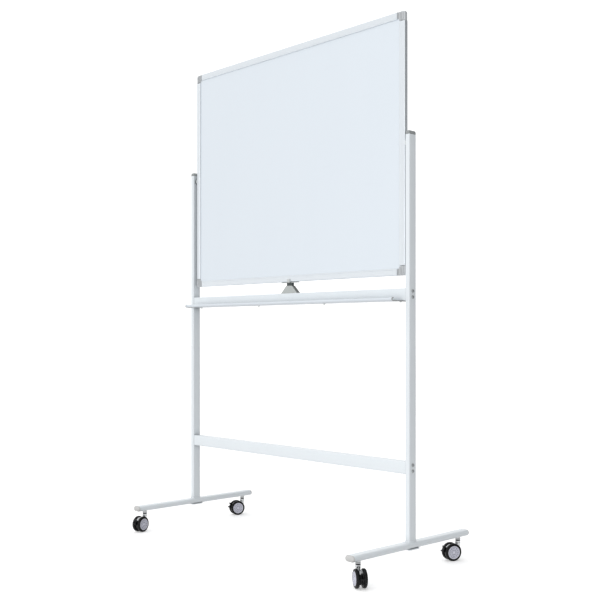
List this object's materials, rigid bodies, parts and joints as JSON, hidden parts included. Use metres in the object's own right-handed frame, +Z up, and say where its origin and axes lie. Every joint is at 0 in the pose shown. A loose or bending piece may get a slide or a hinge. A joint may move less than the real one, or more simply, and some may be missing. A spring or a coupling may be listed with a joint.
{
  "type": "rolling whiteboard",
  "caption": "Double-sided writing board that turns over between two posts on braked swivel casters, with a pen tray and a spring latch.",
  "frame": {"origin": "on the floor, midway between the two posts and midway along the feet", "axes": "+Z up, X along the board's width, -Y out of the board's front face"},
  "size_m": [1.2811, 0.6233, 1.896],
  "materials": {
    "powder_coat": "white powder coat, faint orange peel",
    "aluminium": "satin anodised, drawn along its length",
    "enamel_sheet": "glossy white writing surface",
    "honeycomb_core": "raw board",
    "grey_plastic": "fine moulded grain",
    "dark_plastic": "fine moulded grain",
    "steel": "zinc plated",
    "black_steel": "black zinc",
    "chrome": "bright plating",
    "tyre_black": "matte black"
  },
  "bodies": {
    "stand": {"front_left_foot_cap": "grey_plastic", "front_left_stem": "black_steel", "front_right_foot_cap": "grey_plastic", "front_right_stem": "black_steel", "latch_bracket": "steel", "latch_guide_pin": "steel", "latch_spring": "steel", "left_foot": "powder_coat", "left_foot_plate": "steel", "left_post": "powder_coat", "left_post_cap": "dark_plastic", "lower_crossbar": "powder_coat", "lower_left_bolts": "black_steel", "lower_right_bolts": "black_steel", "pen_tray": "powder_coat", "rear_left_foot_cap": "grey_plastic", "rear_left_stem": "black_steel", "rear_right_foot_cap": "grey_plastic", "rear_right_stem": "black_steel", "right_foot": "powder_coat", "right_foot_plate": "steel", "right_post": "powder_coat", "right_post_cap": "dark_plastic", "tray_screw_1": "steel", "tray_screw_2": "steel", "tray_screw_3": "steel", "tray_screw_4": "steel", "upper_crossbar": "powder_coat", "upper_left_bolts": "black_steel", "upper_right_bolts": "black_steel"},
    "board": {"bottom_left_corner": "grey_plastic", "bottom_rail": "aluminium", "bottom_right_corner": "grey_plastic", "front_sheet": "enamel_sheet", "left_pivot_pin": "steel", "left_rail": "aluminium", "panel_core": "honeycomb_core", "rear_sheet": "enamel_sheet", "right_pivot_pin": "steel", "right_rail": "aluminium", "top_left_corner": "grey_plastic", "top_rail": "aluminium", "top_right_corner": "grey_plastic"},
    "latch": {"latch_catch": "dark_plastic"},
    "front_right_caster": {"front_right_caster_frame": "chrome"},
    "front_right_outer_wheel": {"front_right_wheel_outer": "tyre_black"},
    "front_right_inner_wheel": {"front_right_wheel_inner": "tyre_black"},
    "front_right_pedal": {"front_right_brake_pedal": "tyre_black"},
    "rear_right_caster": {"rear_right_caster_frame": "chrome"},
    "rear_right_outer_wheel": {"rear_right_wheel_outer": "tyre_black"},
    "rear_right_inner_wheel": {"rear_right_wheel_inner": "tyre_black"},
    "rear_right_pedal": {"rear_right_brake_pedal": "tyre_black"},
    "front_left_caster": {"front_left_caster_frame": "chrome"},
    "front_left_outer_wheel": {"front_left_wheel_outer": "tyre_black"},
    "front_left_inner_wheel": {"front_left_wheel_inner": "tyre_black"},
    "front_left_pedal": {"front_left_brake_pedal": "tyre_black"},
    "rear_left_caster": {"rear_left_caster_frame": "chrome"},
    "rear_left_outer_wheel": {"rear_left_wheel_outer": "tyre_black"},
    "rear_left_inner_wheel": {"rear_left_wheel_inner": "tyre_black"},
    "rear_left_pedal": {"rear_left_brake_pedal": "tyre_black"}
  },
  "joints": [
    {"name": "board_flip", "type": "hinge", "parent": "stand", "child": "board", "pos_m": [0, 0, 1.448], "axis": [1, 0, 0], "continuous": true},
    {"name": "latch_slide", "type": "slide", "parent": "stand", "child": "latch", "axis": [0, 0, 1], "range_m": [-0.0108, 0], "stiffness_N_per_m": 300, "springref_m": 0.006, "deforming": ["latch_spring"]},
    {"name": "front_right_swivel", "type": "hinge", "parent": "stand", "child": "front_right_caster", "pos_m": [0.594, -0.259, 0.066], "axis": [0, 0, 1], "continuous": true},
    {"name": "front_right_outer_spin", "type": "hinge", "parent": "front_right_caster", "child": "front_right_outer_wheel", "pos_m": [0.6152, -0.27225, 0.031], "axis": [0.5299, 0.848, 0], "continuous": true},
    {"name": "front_right_inner_spin", "type": "hinge", "parent": "front_right_caster", "child": "front_right_inner_wheel", "pos_m": [0.6152, -0.27225, 0.031], "axis": [0.5299, 0.848, 0], "continuous": true},
    {"name": "front_right_brake", "type": "hinge", "parent": "front_right_caster", "child": "front_right_pedal", "pos_m": [0.6152, -0.27225, 0.031], "axis": [0.5299, 0.848, 0], "range_deg": [0, 14]},
    {"name": "rear_right_swivel", "type": "hinge", "parent": "stand", "child": "rear_right_caster", "pos_m": [0.594, 0.259, 0.066], "axis": [0, 0, 1], "continuous": true},
    {"name": "rear_right_outer_spin", "type": "hinge", "parent": "rear_right_caster", "child": "rear_right_outer_wheel", "pos_m": [0.58423, 0.23599, 0.031], "axis": [0.9205, -0.3907, 0], "continuous": true},
    {"name": "rear_right_inner_spin", "type": "hinge", "parent": "rear_right_caster", "child": "rear_right_inner_wheel", "pos_m": [0.58423, 0.23599, 0.031], "axis": [0.9205, -0.3907, 0], "continuous": true},
    {"name": "rear_right_brake", "type": "hinge", "parent": "rear_right_caster", "child": "rear_right_pedal", "pos_m": [0.58423, 0.23599, 0.031], "axis": [0.9205, -0.3907, 0], "range_deg": [0, 14]},
    {"name": "front_left_swivel", "type": "hinge", "parent": "stand", "child": "front_left_caster", "pos_m": [-0.594, -0.259, 0.066], "axis": [0, 0, 1], "continuous": true},
    {"name": "front_left_outer_spin", "type": "hinge", "parent": "front_left_caster", "child": "front_left_outer_wheel", "pos_m": [-0.58795, -0.28326, 0.031], "axis": [0.9703, 0.2419, 0], "continuous": true},
    {"name": "front_left_inner_spin", "type": "hinge", "parent": "front_left_caster", "child": "front_left_inner_wheel", "pos_m": [-0.58795, -0.28326, 0.031], "axis": [0.9703, 0.2419, 0], "continuous": true},
    {"name": "front_left_brake", "type": "hinge", "parent": "front_left_caster", "child": "front_left_pedal", "pos_m": [-0.58795, -0.28326, 0.031], "axis": [0.9703, 0.2419, 0], "range_deg": [0, 14]},
    {"name": "rear_left_swivel", "type": "hinge", "parent": "stand", "child": "rear_left_caster", "pos_m": [-0.594, 0.259, 0.066], "axis": [0, 0, 1], "continuous": true},
    {"name": "rear_left_outer_spin", "type": "hinge", "parent": "rear_left_caster", "child": "rear_left_outer_wheel", "pos_m": [-0.60255, 0.23551, 0.031], "axis": [0.9397, -0.342, 0], "continuous": true},
    {"name": "rear_left_inner_spin", "type": "hinge", "parent": "rear_left_caster", "child": "rear_left_inner_wheel", "pos_m": [-0.60255, 0.23551, 0.031], "axis": [0.9397, -0.342, 0], "continuous": true},
    {"name": "rear_left_brake", "type": "hinge", "parent": "rear_left_caster", "child": "rear_left_pedal", "pos_m": [-0.60255, 0.23551, 0.031], "axis": [0.9397, -0.342, 0], "range_deg": [0, 14]}
  ]
}
